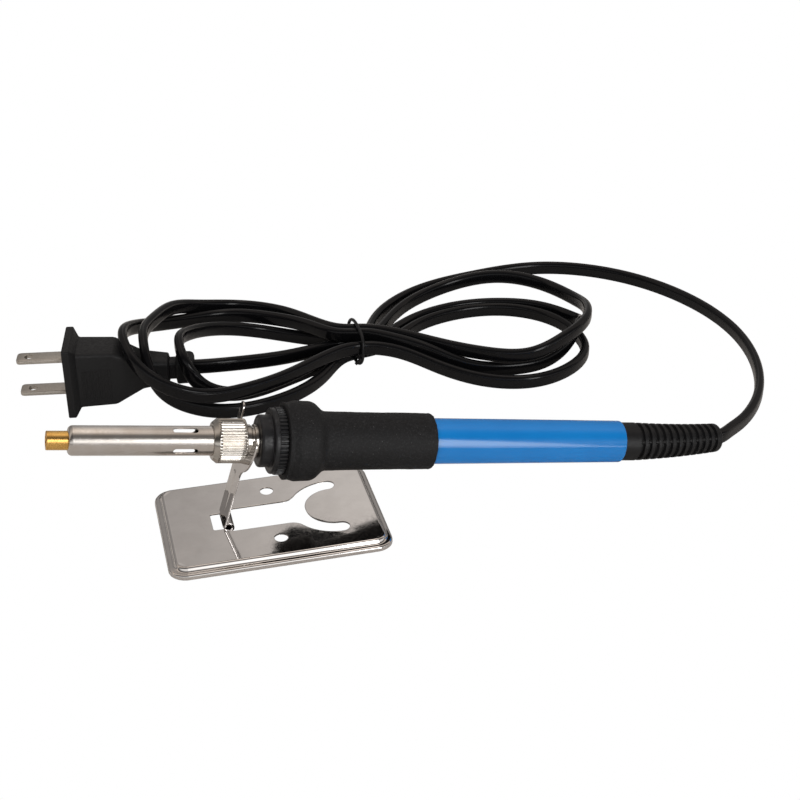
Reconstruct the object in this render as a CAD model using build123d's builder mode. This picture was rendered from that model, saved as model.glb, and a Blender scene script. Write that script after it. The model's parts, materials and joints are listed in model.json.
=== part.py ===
from build123d import *
import math
import os

# Soldering iron lying on its folding stand, with its cord coiled behind it.
# Millimetres. The origin is the centre of the stand plate, on the table.
# +X runs along the plate from the iron's tip towards its handle, and +Z is up.
# The iron's own measure is "station": distance along its axis from the nose.

# ---- driving dimensions ----

gap = 0.05  # running clearance on radius

# the iron's pose
iron_tilt = 9.4
iron_heading = 0.8
tail_x = 154.6
saddle_station = 61.7

# iron stations
barrel_front = 6.3
slot_start = 37.2
slot_end = 44.9
nut_front = 49.4
ferrule_front = 53.6
nut_rear = 59.6
groove_front = 61.2
groove_rear = 62.2
collar_front = 63.5
flange_front = 67.2
flange_rear = 71.3
tube_front = 72.3
spigot_rear = 90.0
bulge_rear = 79.3
waist = 83.6
grip_rear = 119.8
boot_spigot = 174.0
tube_rear = 186.0
boot_shoulder = 191.3
tail = 223.5

# iron radii
nose_r = 2.9
tip_thread_r = 1.65
tip_sleeve_r = 3.3
heater_r = 2.1
barrel_r = 4.55
barrel_wall = 0.4
barrel_flange_r = 5.6
nut_r = 6.9
thread_r = 4.8
neck_r = 5.05
ferrule_bore_r = 3.3
ferrule_tail_r = 4.2
collar_r = 8.2
flange_r = 10.55
tube_r = 7.35
tube_wall = 0.8
grip_r = 9.0
bulge_r = 12.5
boot_r = 6.35
tail_r = 4.85
boot_turn = 9.5

# flat cord
cord_thickness = 3.3
cord_width = 5.5
core_offset = 1.2
core_r = 1.05
strand_r = 0.45

# stand
plate_length = 70.0
plate_width = 48.0
plate_height = 3.0
rim_height = 1.5
rim_step = 2.3
sheet = 0.6
hinge_x = -14.2
hinge_z = plate_height - sheet / 2
fork_lean = 17.0
strap_width = 2.0
loop_inner_r = 1.25
loop_width = 8.0
slot_half = 6.1
stem_half = 5.2
saddle_r = 9.5
prong_width = 4.8
cut_gap = 0.3
fork_reach = 36.6
hole_spacing = 26.6
stand_hole_r = 2.1
stand_hole_x = 0.8

# plug
plug_origin = Vector(-57.0, 90.5, 13.0)
plug_heading = -8.9
blade_spacing = 12.7
blade_width = 6.35
blade_thickness = 1.5
blade_length = 17.0
blade_hole_r = 1.5
plug_length = 45.0

# cord tie
tie_x = 50.0
tie_width = 2.4
tie_thickness = 1.2
tie_slack = 0.5

os.makedirs("parts", exist_ok=True)


def finish(builder, name):
    builder.part.label = name
    export_step(builder.part, f"parts/{name}.step")


# ---- the iron's frame ----

tilt = math.radians(iron_tilt)
turned = math.radians(iron_heading)
along = Vector(math.cos(tilt) * math.cos(turned), math.cos(tilt) * math.sin(turned), -math.sin(tilt))
sideways = Vector(-math.sin(turned), math.cos(turned), 0)
upward = along.cross(sideways)
# The axis crosses the stand's middle plane where the neck lies in the fork.
tail_point = Vector(tail_x, (tail - saddle_station) * along.Y, tail_r * math.cos(tilt))
nose = tail_point - along * tail
iron_axis = Axis(nose, along)

# Local x is the station and local y the radius.
lathe = Plane(origin=nose, x_dir=along, z_dir=sideways * -1)


def across(station, rise=0.0):
    """A plane square to the iron's axis. Its local y is the iron's own upward direction."""
    return Plane(origin=nose + along * station + upward * rise, x_dir=sideways * -1, z_dir=along)


def bent(station):
    """A plane square to the boot's centre line, which curves sideways behind its shoulder."""
    bend_r = (tail - boot_shoulder) / math.radians(boot_turn)
    turn = (station - boot_shoulder) / bend_r
    forward = along * math.cos(turn) + sideways * math.sin(turn)
    ahead = along * (boot_shoulder + bend_r * math.sin(turn))
    centre = nose + ahead + sideways * (bend_r - bend_r * math.cos(turn))
    return Plane(origin=centre, x_dir=upward.cross(forward) * -1, z_dir=forward)


bend_sections = [boot_shoulder + (tail - boot_shoulder) * section / 8 for section in range(9)]


def outline(*points):
    """A closed outline of (station, radius) points, in the plane of the iron's axis."""
    with BuildSketch(lathe) as face:
        with BuildLine():
            Polyline(*points, close=True)
        make_face()
    return face.sketch


# ---- tip and heater ----

with BuildPart() as tip_adapter:
    shoulder_rear = 9.3
    thread_depth = 8.0
    bore_front = 11.0
    sleeve_rear = 31.0
    bore_r = heater_r + 0.15
    nose_chamfer = 0.3
    shoulder_front = barrel_front + 1.0
    shoulder_r = 3.9
    revolve(
        outline(
            (0, tip_thread_r),
            (0, nose_r - nose_chamfer),
            (nose_chamfer, nose_r),
            (shoulder_front, nose_r),
            (shoulder_front, shoulder_r),
            (shoulder_rear, shoulder_r),
            (shoulder_rear, tip_sleeve_r),
            (sleeve_rear, tip_sleeve_r),
            (sleeve_rear, bore_r),
            (bore_front, bore_r),
            (bore_front, 0),
            (thread_depth, 0),
            (thread_depth, tip_thread_r),
        ),
        axis=iron_axis,
    )
finish(tip_adapter, "tip_adapter")

with BuildPart() as heater_rod:
    rod_front = 11.5
    rod_rear = 56.0
    rod_chamfer = 0.5
    revolve(
        outline(
            (rod_front, 0),
            (rod_front, heater_r - rod_chamfer),
            (rod_front + rod_chamfer, heater_r),
            (rod_rear, heater_r),
            (rod_rear, 0),
        ),
        axis=iron_axis,
    )
finish(heater_rod, "heater_rod")

with BuildPart() as heater_mount:
    mount_front = 49.0
    mount_flange_front = 51.6
    mount_rear = 62.0
    mount_bore_r = heater_r + gap
    mount_nose_r = 3.2
    mount_flange_r = 4.0
    revolve(
        outline(
            (mount_front, mount_bore_r),
            (mount_front, mount_nose_r),
            (mount_flange_front, mount_nose_r),
            (mount_flange_front, mount_flange_r),
            (ferrule_front - gap, mount_flange_r),
            (ferrule_front - gap, ferrule_bore_r - gap),
            (mount_rear, ferrule_bore_r - gap),
            (mount_rear, mount_bore_r),
        ),
        axis=iron_axis,
    )
finish(heater_mount, "heater_mount")

lead_r = 0.4
lead_sleeve_r = 0.85
crimp_r = 1.1
lead_front = 56.1
crimp_front = 82.0
lead_rear = 86.8
core_front = 87.0
crimp_rear = 92.0
sleeve_front = 62.6
with BuildPart() as heater_leads:
    for side in (-1, 1):
        with BuildSketch(across(lead_front, side * core_offset)):
            Circle(lead_r)
        extrude(amount=lead_rear - lead_front)
finish(heater_leads, "heater_leads")

with BuildPart() as lead_sleeves:
    for side in (-1, 1):
        with BuildSketch(across(sleeve_front, side * core_offset)):
            Circle(lead_sleeve_r)
            Circle(lead_r + gap, mode=Mode.SUBTRACT)
        extrude(amount=crimp_front - sleeve_front - gap)
finish(lead_sleeves, "lead_sleeves")

with BuildPart() as splice_crimps:
    for side in (-1, 1):
        with BuildSketch(across(crimp_front, side * core_offset)):
            Circle(crimp_r)
            Circle(strand_r + gap, mode=Mode.SUBTRACT)
        extrude(amount=crimp_rear - crimp_front)
finish(splice_crimps, "splice_crimps")

# ---- barrel, nut and ferrule ----

with BuildPart() as barrel_sleeve:
    mouth_r = nose_r + 0.1
    edge_r = 1.4
    front_wall = 0.9
    flange_thickness = 1.2
    bore = barrel_r - barrel_wall
    barrel_rear = ferrule_front - 0.1
    with BuildSketch(lathe):
        with BuildLine():
            start = (barrel_front, mouth_r)
            lip = (barrel_front, barrel_r - edge_r)
            rim = (barrel_front + edge_r, barrel_r)
            centre = (barrel_front + edge_r, barrel_r - edge_r)
            Line(start, lip)
            CenterArc(centre, edge_r, 180, -90)
            Polyline(
                rim,
                (barrel_rear - flange_thickness, barrel_r),
                (barrel_rear - flange_thickness, barrel_flange_r),
                (barrel_rear, barrel_flange_r),
                (barrel_rear, bore),
                (barrel_front + front_wall, bore),
                (barrel_front + front_wall, mouth_r),
                start,
            )
        make_face()
    revolve(axis=iron_axis)
    # four vent slots, turned a little from straight up
    vents = 4
    first_vent = 16.0
    vent_width = 2.0
    slot_length = slot_end - slot_start
    slot_centre = nose + along * (slot_start + slot_length / 2)
    for vent in range(vents):
        turn = first_vent + 360.0 / vents * vent
        outward = upward.rotate(Axis((0, 0, 0), along), turn)
        with BuildSketch(Plane(origin=slot_centre, x_dir=along, z_dir=outward)):
            SlotOverall(slot_length, vent_width)
        extrude(amount=barrel_r + 1, mode=Mode.SUBTRACT)
finish(barrel_sleeve, "barrel_sleeve")

with BuildPart() as union_nut:
    flutes = 40
    flute_depth = 0.35
    cone_length = 1.5
    cone_r = 5.7
    nut_chamfer = 0.5
    pocket_r = barrel_flange_r + 0.15
    lip_rear = barrel_rear - flange_thickness - 0.1
    pocket_rear = ferrule_front + 0.6
    revolve(
        outline(
            (nut_front, barrel_r + gap),
            (nut_front, cone_r),
            (nut_front + cone_length, nut_r),
            (nut_rear - nut_chamfer, nut_r),
            (nut_rear, nut_r - nut_chamfer),
            (nut_rear, thread_r + gap),
            (pocket_rear, thread_r + gap),
            (pocket_rear, pocket_r),
            (lip_rear, pocket_r),
            (lip_rear, barrel_r + gap),
        ),
        axis=iron_axis,
    )
    with BuildSketch(across(nut_front + cone_length + 0.3)):
        with PolarLocations(nut_r, flutes):
            RegularPolygon(flute_depth * 1.2, 3, rotation=180)
    extrude(amount=nut_rear - nut_front, mode=Mode.SUBTRACT)
finish(union_nut, "union_nut")

with BuildPart() as threaded_ferrule:
    thread_depth_r = 0.35
    thread_pitch = 1.0
    groove_r = neck_r - 0.5
    rear_neck_r = neck_r + 0.15
    thread_end = nut_rear + 0.1
    ridges = []
    for turn in range(int((thread_end - ferrule_front) / thread_pitch)):
        root = ferrule_front + turn * thread_pitch
        ridges.append((root, thread_r - thread_depth_r))
        ridges.append((root + thread_pitch / 2, thread_r))
    tail_end = 75.0
    revolve(
        outline(
            (ferrule_front, ferrule_bore_r),
            *ridges,
            (thread_end, thread_r - thread_depth_r),
            (thread_end, neck_r),
            (groove_front, neck_r),
            (groove_front, groove_r),
            (groove_rear, groove_r),
            (groove_rear, rear_neck_r),
            (collar_front - gap, rear_neck_r),
            (collar_front - gap, ferrule_tail_r),
            (tail_end, ferrule_tail_r),
            (tail_end, ferrule_bore_r),
        ),
        axis=iron_axis,
    )
finish(threaded_ferrule, "threaded_ferrule")

# ---- collar, grip and handle ----

spigot_r = tube_r - tube_wall - gap
inner_wall_rear = 70.5
with BuildPart() as front_collar:
    rib_count = 48
    rib_front = 68.7
    rib_gap = 0.55
    rib_gap_depth = 0.4
    collar_chamfer = 0.6
    flange_edge = 0.6
    plain_rim_r = flange_r - 0.3
    spigot_bore = 5.4
    revolve(
        outline(
            (collar_front, ferrule_tail_r + gap),
            (collar_front, collar_r - collar_chamfer),
            (collar_front + collar_chamfer, collar_r),
            (flange_front, collar_r),
            (flange_front, plain_rim_r - flange_edge),
            (flange_front + flange_edge, plain_rim_r),
            (rib_front, plain_rim_r),
            (rib_front, flange_r),
            (flange_rear, flange_r),
            (flange_rear, tube_r),
            (tube_front - gap, tube_r),
            (tube_front - gap, spigot_r),
            (spigot_rear, spigot_r),
            (spigot_rear, spigot_bore),
            (inner_wall_rear, spigot_bore),
            (inner_wall_rear, ferrule_tail_r + gap),
        ),
        axis=iron_axis,
    )
    with BuildSketch(across(rib_front)):
        with PolarLocations(flange_r, rib_count):
            Rectangle(2 * rib_gap_depth, rib_gap)
    extrude(amount=flange_rear - rib_front, mode=Mode.SUBTRACT)
finish(front_collar, "front_collar")

with BuildPart() as ferrule_locknut:
    locknut_apothem = 4.5
    locknut_length = 3.0
    with BuildSketch(across(inner_wall_rear + gap)):
        RegularPolygon(locknut_apothem, 6, major_radius=False)
        Circle(ferrule_tail_r + 0.02, mode=Mode.SUBTRACT)
    extrude(amount=locknut_length)
finish(ferrule_locknut, "ferrule_locknut")

with BuildPart() as handle_tube:
    rear_r = 6.9
    rear_chamfer = 0.4
    revolve(
        outline(
            (tube_front, tube_r - tube_wall),
            (tube_front, tube_r),
            (grip_rear, tube_r),
            (tube_rear - rear_chamfer, rear_r),
            (tube_rear, rear_r - rear_chamfer),
            (tube_rear, rear_r - tube_wall),
            (grip_rear, tube_r - tube_wall),
        ),
        axis=iron_axis,
    )
finish(handle_tube, "handle_tube")

with BuildPart() as grip_sleeve:
    foam_front = flange_rear + 0.05
    foam_bore = tube_r + 0.02
    foam_rear_r = 8.9
    foam_lip_r = 10.6
    rear_edge = 1.3
    with BuildSketch(lathe):
        with BuildLine():
            crown = (foam_front + 3.0, bulge_r)
            shoulder = (bulge_rear - 0.6, bulge_r - 0.1)
            hollow = (waist, grip_r + 0.35)
            slim = (waist + 4.5, grip_r)
            edge = (grip_rear - rear_edge, foam_rear_r)
            lip = (foam_front, foam_lip_r)
            Line((foam_front, foam_bore), lip)
            Spline(lip, crown, tangents=((0.3, 1), (1, 0)))
            Line(crown, shoulder)
            Spline(shoulder, hollow, slim, tangents=((1, -0.1), (1, 0)))
            Line(slim, edge)
            RadiusArc(edge, (grip_rear, foam_rear_r - rear_edge), rear_edge)
            Polyline(
                (grip_rear, foam_rear_r - rear_edge),
                (grip_rear, foam_bore),
                (foam_front, foam_bore),
            )
        make_face()
    revolve(axis=iron_axis)
finish(grip_sleeve, "grip_sleeve")

# ---- cord end, clamp and strain relief ----

jacket_front = 165.0
with BuildPart() as handle_cord:
    with BuildSketch(across(jacket_front)):
        SlotOverall(cord_width, cord_thickness, rotation=90)
    extrude(amount=boot_shoulder - jacket_front)
    for station in bend_sections:
        with BuildSketch(bent(station)):
            SlotOverall(cord_width, cord_thickness, rotation=90)
    loft(ruled=True)
finish(handle_cord, "handle_cord")

with BuildPart() as handle_cores:
    for side in (-1, 1):
        with BuildSketch(across(core_front, side * core_offset)):
            Circle(strand_r)
        extrude(amount=crimp_rear - core_front + gap)
        with BuildSketch(across(crimp_rear + gap, side * core_offset)):
            Circle(core_r)
        extrude(amount=jacket_front - crimp_rear - gap)
finish(handle_cores, "handle_cores")

with BuildPart() as cord_clamp:
    clamp_length = 3.8
    clamp_wall = 1.2
    with BuildSketch(across(boot_spigot - clamp_length - gap)):
        SlotOverall(cord_width + 2 * clamp_wall, cord_thickness + 2 * clamp_wall, rotation=90)
        SlotOverall(cord_width, cord_thickness, rotation=90, mode=Mode.SUBTRACT)
    extrude(amount=clamp_length)
finish(cord_clamp, "cord_clamp")

with BuildPart() as strain_relief:
    rings = 12
    ring_pitch = (tail - boot_shoulder) / (rings + 0.5)
    groove_depth = 1.1
    web_width = 1.3
    spigot_fit_r = 5.95
    taper = (boot_r - tail_r) / (tail - boot_shoulder)
    revolve(
        outline(
            (boot_spigot, 0),
            (boot_spigot, spigot_fit_r),
            (tube_rear + gap, spigot_fit_r),
            (tube_rear + gap, boot_r),
            (boot_shoulder, boot_r),
            (boot_shoulder, 0),
        ),
        axis=iron_axis,
    )
    for station in bend_sections:
        with BuildSketch(bent(station)):
            Circle(boot_r - taper * (station - boot_shoulder))
    loft(ruled=True)
    # Grooves leave rings joined by four webs.
    for ring in range(rings):
        groove = boot_shoulder + ring_pitch * ring + ring_pitch * 0.1
        ring_r = boot_r - taper * (groove - boot_shoulder)
        with BuildSketch(bent(groove)):
            Circle(ring_r + 1)
            Circle(ring_r - groove_depth, mode=Mode.SUBTRACT)
            with PolarLocations(ring_r - groove_depth / 2, 4, start_angle=28):
                Rectangle(groove_depth * 0.8, web_width, mode=Mode.SUBTRACT)
        extrude(amount=ring_pitch * 0.5, mode=Mode.SUBTRACT)
    add(handle_cord.part, mode=Mode.SUBTRACT)
finish(strain_relief, "strain_relief")

# ---- stand ----


def fork_shape(plane, centre_x, stem_from, half_stem, inner_r, outer_r):
    """The Y outline: a stem that opens into a U of two round-ended prongs."""
    prong_r = (outer_r - inner_r) / 2
    with BuildSketch(plane) as shape:
        with Locations((centre_x, 0)):
            Circle(outer_r)
        with Locations(((stem_from + centre_x) / 2, 0)):
            Rectangle(centre_x - stem_from, 2 * half_stem)
        beyond_start = shape.vertices().filter_by(lambda v: v.X > stem_from + 1)
        waist_corners = beyond_start.filter_by(lambda v: abs(abs(v.Y) - half_stem) < 0.01)
        fillet(waist_corners, 5.0)
        with Locations((centre_x, 0)):
            Circle(inner_r, mode=Mode.SUBTRACT)
        with Locations((centre_x + outer_r, 0)):
            Rectangle(2 * outer_r, 2 * outer_r, mode=Mode.SUBTRACT)
        with Locations((centre_x, inner_r + prong_r), (centre_x, -inner_r - prong_r)):
            Circle(prong_r)
    return shape.sketch


prong_tip_x = hinge_x + fork_reach + cut_gap
cut_outer_r = saddle_r + prong_width
cut_centre_x = prong_tip_x - prong_width / 2
strap_right = hinge_x + strap_width / 2
strap_left = hinge_x - strap_width / 2
with BuildPart() as stand_base:
    plate_corner = 5.0
    step_corner = 3.6
    with BuildSketch():
        RectangleRounded(plate_length, plate_width, plate_corner)
    extrude(amount=rim_height)
    with BuildSketch():
        RectangleRounded(plate_length - 2 * rim_step, plate_width - 2 * rim_step, step_corner)
    extrude(amount=plate_height)
    fillet(stand_base.edges().group_by(Axis.Z)[-1], 0.9)
    at_rim = stand_base.edges().filter_by_position(Axis.Z, rim_height - 0.01, rim_height + 0.01)
    fillet(at_rim.filter_by(lambda e: e.length > 1), 0.55)
    offset(amount=-sheet, openings=stand_base.faces().sort_by(Axis.Z)[0])
    # Y-shaped opening, latch hole behind the strap and two screw holes
    opening = fork_shape(Plane.XY, cut_centre_x, strap_right, slot_half, saddle_r, cut_outer_r)
    extrude(opening, amount=plate_height + 1, mode=Mode.SUBTRACT)
    with BuildSketch():
        latch_length = 3.8
        with Locations((strap_left - latch_length / 2, 0)):
            Rectangle(latch_length, loop_width + 0.8)
        with Locations((stand_hole_x, hole_spacing / 2), (stand_hole_x, -hole_spacing / 2)):
            Circle(stand_hole_r)
    extrude(amount=plate_height + 1, mode=Mode.SUBTRACT)
finish(stand_base, "stand_base")

lean = math.radians(fork_lean)
hinge = Vector(hinge_x, 0, hinge_z)
fork_up = Vector(math.sin(lean), 0, math.cos(lean))
fork_normal = Vector(math.cos(lean), 0, -math.sin(lean))
loop_outer_r = loop_inner_r + sheet

# The saddle's lowest point carries the neck with a hair of clearance.
seat_gap = 0.06
seat_height = (hinge + fork_normal * loop_inner_r - nose).dot(upward)
saddle_depth = (-neck_r - seat_gap - seat_height) / fork_up.dot(upward)

with BuildPart() as stand_fork:
    fork_saddle_r = saddle_r + cut_gap
    fork_outer_r = cut_outer_r - cut_gap
    sheet_plane = Plane(origin=hinge + fork_normal * loop_inner_r, x_dir=fork_up, z_dir=fork_normal)
    fork_centre = saddle_depth + fork_saddle_r
    blank = fork_shape(sheet_plane, fork_centre, 0.0, stem_half, fork_saddle_r, fork_outer_r)
    extrude(blank, amount=sheet)
    # loop rolled round the strap, open on its upper left
    loop_side = hinge + Vector(0, loop_width / 2, 0)
    with BuildSketch(Plane(origin=loop_side, x_dir=fork_normal, z_dir=(0, -1, 0))):
        Circle(loop_outer_r)
        Circle(loop_inner_r, mode=Mode.SUBTRACT)
        with BuildLine():
            slit_top = 2 * loop_outer_r
            Polyline((0, 0), (0.1 * slit_top, slit_top), (-0.6 * slit_top, slit_top), close=True)
        make_face(mode=Mode.SUBTRACT)
    extrude(amount=loop_width)
finish(stand_fork, "stand_fork")

# ---- plug ----

heading = math.radians(plug_heading)
plug_along = Vector(math.cos(heading), math.sin(heading), 0)


def plug_plane(depth, rise=0.0):
    """A plane square to the plug's axis. Its local x is up, its local y the plug's side."""
    centre = plug_origin + plug_along * depth + Vector(0, 0, rise)
    return Plane(origin=centre, x_dir=(0, 0, 1), z_dir=plug_along)


insert_front = 1.5
insert_length = 7.0
blade_rear = 11.0
blade_rounding = 1.2
blade_hole_setback = 4.2
plug_crimp_r = 1.5
plug_crimp_rear = 17.0
strand_length = 4.0
with BuildPart() as plug_blades:
    for side in (-1, 1):
        with BuildSketch(plug_plane(-blade_length, side * blade_spacing / 2)):
            Rectangle(blade_thickness, blade_width)
        extrude(amount=blade_length + blade_rear)
    blade_ends = plug_blades.faces().sort_by(Axis(plug_origin, plug_along))[:2]
    fillet([e for f in blade_ends for e in f.edges().filter_by(Axis.Z)], blade_rounding)
    hole_point = plug_origin + plug_along * (blade_hole_setback - blade_length)
    with BuildSketch(Plane(origin=hole_point, x_dir=plug_along, z_dir=(0, 0, 1))):
        Circle(blade_hole_r)
    extrude(amount=blade_spacing, both=True, mode=Mode.SUBTRACT)
finish(plug_blades, "plug_blades")

with BuildPart() as plug_insert:
    with BuildSketch(plug_plane(insert_front)):
        RectangleRounded(20.0, 9.0, 1.5)
        for side in (-1, 1):
            with Locations((side * blade_spacing / 2, 0)):
                Rectangle(blade_thickness, blade_width, mode=Mode.SUBTRACT)
    extrude(amount=insert_length)
finish(plug_insert, "plug_insert")

with BuildPart() as blade_crimps:
    for side in (-1, 1):
        with BuildSketch(plug_plane(blade_rear, side * blade_spacing / 2)):
            Circle(plug_crimp_r)
        extrude(amount=plug_crimp_rear - blade_rear)
        with BuildSketch(plug_plane(plug_crimp_rear - strand_length, side * blade_spacing / 2)):
            Circle(strand_r)
        extrude(amount=strand_length, mode=Mode.SUBTRACT)
finish(blade_crimps, "blade_crimps")

plug_cord_front = 34.0
with BuildPart() as plug_cores:
    for side in (-1, 1):
        start_rise = side * blade_spacing / 2
        with BuildSketch(plug_plane(plug_crimp_rear - strand_length, start_rise)):
            Circle(strand_r)
        extrude(amount=strand_length)
        core_start = plug_plane(plug_crimp_rear, start_rise).origin
        core_end = plug_plane(plug_cord_front, side * core_offset).origin
        with BuildLine() as core_path:
            Spline(core_start, core_end, tangents=(plug_along, plug_along))
        with BuildSketch(plug_plane(plug_crimp_rear, start_rise)):
            Circle(core_r)
        sweep(path=core_path.wires()[0])
finish(plug_cores, "plug_cores")

with BuildPart() as plug_cord:
    with BuildSketch(plug_plane(plug_cord_front)):
        SlotOverall(cord_width, cord_thickness)
    extrude(amount=plug_length - plug_cord_front)
finish(plug_cord, "plug_cord")

with BuildPart() as plug_body:
    # (depth, height, width, corner radius) of the moulding's sections
    sections = (
        (0.0, 27.0, 20.0, 0.9),
        (2.6, 27.0, 20.0, 0.9),
        (4.6, 21.5, 15.0, 1.4),
        (17.0, 20.8, 14.2, 1.4),
        (27.0, 11.6, 10.6, 2.0),
        (36.0, 9.2, 8.8, 1.8),
    )
    for near, far in zip(sections, sections[1:]):
        for depth, height, width, corner in (near, far):
            with BuildSketch(plug_plane(depth)):
                RectangleRounded(height, width, corner)
        loft(ruled=True)
    # groove and knob behind the moulding
    groove_start = sections[-1][0]
    knob_start = 38.6
    with BuildSketch(plug_plane(groove_start)):
        Rectangle(7.0, 5.6)
    extrude(amount=knob_start - groove_start + 0.4)
    with BuildSketch(plug_plane(knob_start)):
        RectangleRounded(10.0, 9.4, 2.2)
    extrude(amount=plug_length - knob_start)
    # fine grip ribs on both flanks
    ribs = 10
    first_rib = 7.0
    rib_pitch = 1.2
    rib_slot = 0.45
    rib_height = 12.0
    flank = 7.45
    for side in (-1, 1):
        for rib in range(ribs):
            with BuildSketch(plug_plane(first_rib + rib_pitch * rib, -2.0)):
                with Locations((0, side * flank)):
                    Rectangle(rib_height, 2 * rib_slot)
            extrude(amount=rib_slot, mode=Mode.SUBTRACT)
    for inner in (plug_insert, blade_crimps, plug_cores, plug_cord, plug_blades):
        add(inner.part, mode=Mode.SUBTRACT)
finish(plug_body, "plug_body")

# ---- cord and tie ----

# Heights of the cord's centre line: lying on the table, crossing over one strand,
# and the lower and upper strands where the tie gathers them.
lay = 2.9
over = 8.7
low = 4.5
top = 10.1

# The coil: three loops on each side of the tie, laid by hand from the plug to the iron.
# The left-hand loops ride up over the plug.
cord_points = (
    # plug to tie
    (4, 84, 12), (22, 91.5, 8), (36, 99.3, 5), (45, 101.5, low), (54, 102.6, low),
    # right loop, far
    (63.5, 112, 4.2), (78, 130, 3.6), (97, 138.5, 5.5), (117, 136, over), (133, 125, over),
    (141, 107, 9.5), (140, 92, 13), (134, 79, 14.5), (123, 70.5, 13.5), (109, 67, 10.5), (95, 73, 9.2),
    (78, 85, 9.4), (63, 96.3, top), (54, 100.9, top), (46, 102.9, top),
    # left loop, far
    (38, 110.5, 9.8), (28, 124.5, 9), (13, 134, 9), (-4, 130.5, 13), (-15.5, 119.5, 19.3), (-24, 104, 23.2),
    (-29, 91, 24.8), (-29.8, 82.5, 23.6), (-29.3, 77, 18.5), (-25, 71, 11), (-16, 67.5, 6), (-2, 66, 3.2),
    (16, 69.5, lay), (36, 85, 3), (45, 93.2, low), (54, 95.4, low),
    # right loop, near
    (66, 102.6, 3.6), (79, 113.5, lay), (97, 119.5, lay), (116, 117.5, lay), (129.5, 107.5, lay),
    (135.6, 93, lay), (134.5, 77.5, lay), (124.5, 66, lay), (109, 60.5, lay), (93, 64.5, lay),
    (76, 76, 5), (64, 86, 7.4), (54, 90.8, 7.9), (46, 90.6, 8.4),
    # left loop, widest
    (36, 85.9, 8.9), (20, 76.3, 8.7), (2, 68.8, 9.2), (-13, 65.2, 11.4), (-24.5, 67, 15.6), (-32, 72.6, 20),
    (-35.8, 80, 24.2), (-36.4, 90, 25.6), (-32.8, 101, 22.4), (-23, 115.5, 15.2), (-8, 125.3, 10.4),
    (8, 127.6, 9), (22, 121, 9.2), (34, 110, 10), (45, 99.4, top), (54, 97.2, top),
    # right loop, middle
    (62, 91.9, top), (73, 83, 9), (87, 75, 4.5), (103, 71.5, lay), (118, 73, 3.6), (128.5, 79, 7),
    (135.5, 88, 8.6), (140, 98, 4.4), (132, 113.5, lay), (117, 122, lay), (97, 124, lay), (79, 118.5, lay),
    (66, 107.8, 3.8), (54, 99.2, low), (46, 97.6, low),
    # left loop, small
    (36, 92, 3.2), (22, 84.3, lay), (6, 77.8, 3.1), (-6, 74.6, 6.5), (-13.2, 74.3, 12.5), (-16.4, 76.6, 18.8),
    (-17.4, 84, 22.2), (-14, 95.5, 20), (-6, 107.5, 14.8), (4, 115.8, 9.8), (14.5, 119.3, 5.8),
    (26, 117.3, 3.4), (36, 111, 3.6), (45, 106, low), (54, 106.8, low),
    # tie to the iron
    (60.5, 116.5, 3.6), (72, 132.5, lay), (88, 143, lay), (112, 149.5, lay), (140, 151, lay),
    (168, 138, lay), (189, 110, lay), (196.3, 80, lay), (193.8, 55.5, lay), (185.3, 33.9, lay),
    (176.5, 21.7, lay), (169, 14.7, 3.0), (162, 9.2, 3.9),
)

with BuildPart() as cord:
    # The flat cord stands on edge: each section's long side is kept as upright as the run allows.
    section_pitch = 6.0
    tail_end_plane = bent(tail)
    run = Spline(
        plug_plane(plug_length + gap).origin,
        *[Vector(*point) for point in cord_points],
        tail_end_plane.origin + tail_end_plane.z_dir * gap,
        tangents=(plug_along, tail_end_plane.z_dir * -1),
        tangent_scalars=(1, 1),
    )
    spans = round(run.length / section_pitch)
    for section in range(spans + 1):
        centre = run @ (section / spans)
        forward = run % (section / spans)
        sideways = Vector(0, 0, 1).cross(forward)
        with BuildSketch(Plane(origin=centre, x_dir=forward.cross(sideways), z_dir=forward)):
            SlotOverall(cord_width, cord_thickness)
    loft(ruled=True)
finish(cord, "cord")

with BuildPart() as cord_tie:
    # (y, z) of the seven strands where the tie crosses them
    strands = (
        (94.5, low),
        (98.4, low),
        (102.1, low),
        (106.0, low),
        (98.3, top),
        (101.9, top),
        (90.7, 8.1),
    )
    tie_plane = Plane(origin=(tie_x - tie_width / 2, 0, 0), x_dir=(0, 1, 0), z_dir=(1, 0, 0))
    for allowance, mode in ((tie_slack + tie_thickness, Mode.ADD), (tie_slack, Mode.SUBTRACT)):
        with BuildSketch(tie_plane):
            rounding = cord_thickness / 2
            reach = cord_width / 2 - rounding
            for y, z in strands:
                with Locations((y, z - reach), (y, z + reach)):
                    Circle(rounding + allowance)
            make_hull()
        extrude(amount=tie_width, mode=mode)
finish(cord_tie, "cord_tie")
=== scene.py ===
import json
import math
import bmesh
import bpy
import numpy as np
from mathutils import Matrix, Vector, geometry, noise


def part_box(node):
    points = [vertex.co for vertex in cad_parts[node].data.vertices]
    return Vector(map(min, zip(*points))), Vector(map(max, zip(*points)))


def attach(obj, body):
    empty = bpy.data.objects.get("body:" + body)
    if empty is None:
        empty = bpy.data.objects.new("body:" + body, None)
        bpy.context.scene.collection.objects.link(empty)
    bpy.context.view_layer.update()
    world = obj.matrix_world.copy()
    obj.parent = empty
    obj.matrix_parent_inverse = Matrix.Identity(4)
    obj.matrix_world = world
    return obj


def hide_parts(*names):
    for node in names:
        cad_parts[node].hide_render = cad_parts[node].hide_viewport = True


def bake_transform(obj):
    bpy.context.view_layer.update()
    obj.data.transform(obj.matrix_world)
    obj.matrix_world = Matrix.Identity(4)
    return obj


# A soldering iron resting on its folding stand, with its cord coiled behind it.
# Everything is in metres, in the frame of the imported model.

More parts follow.
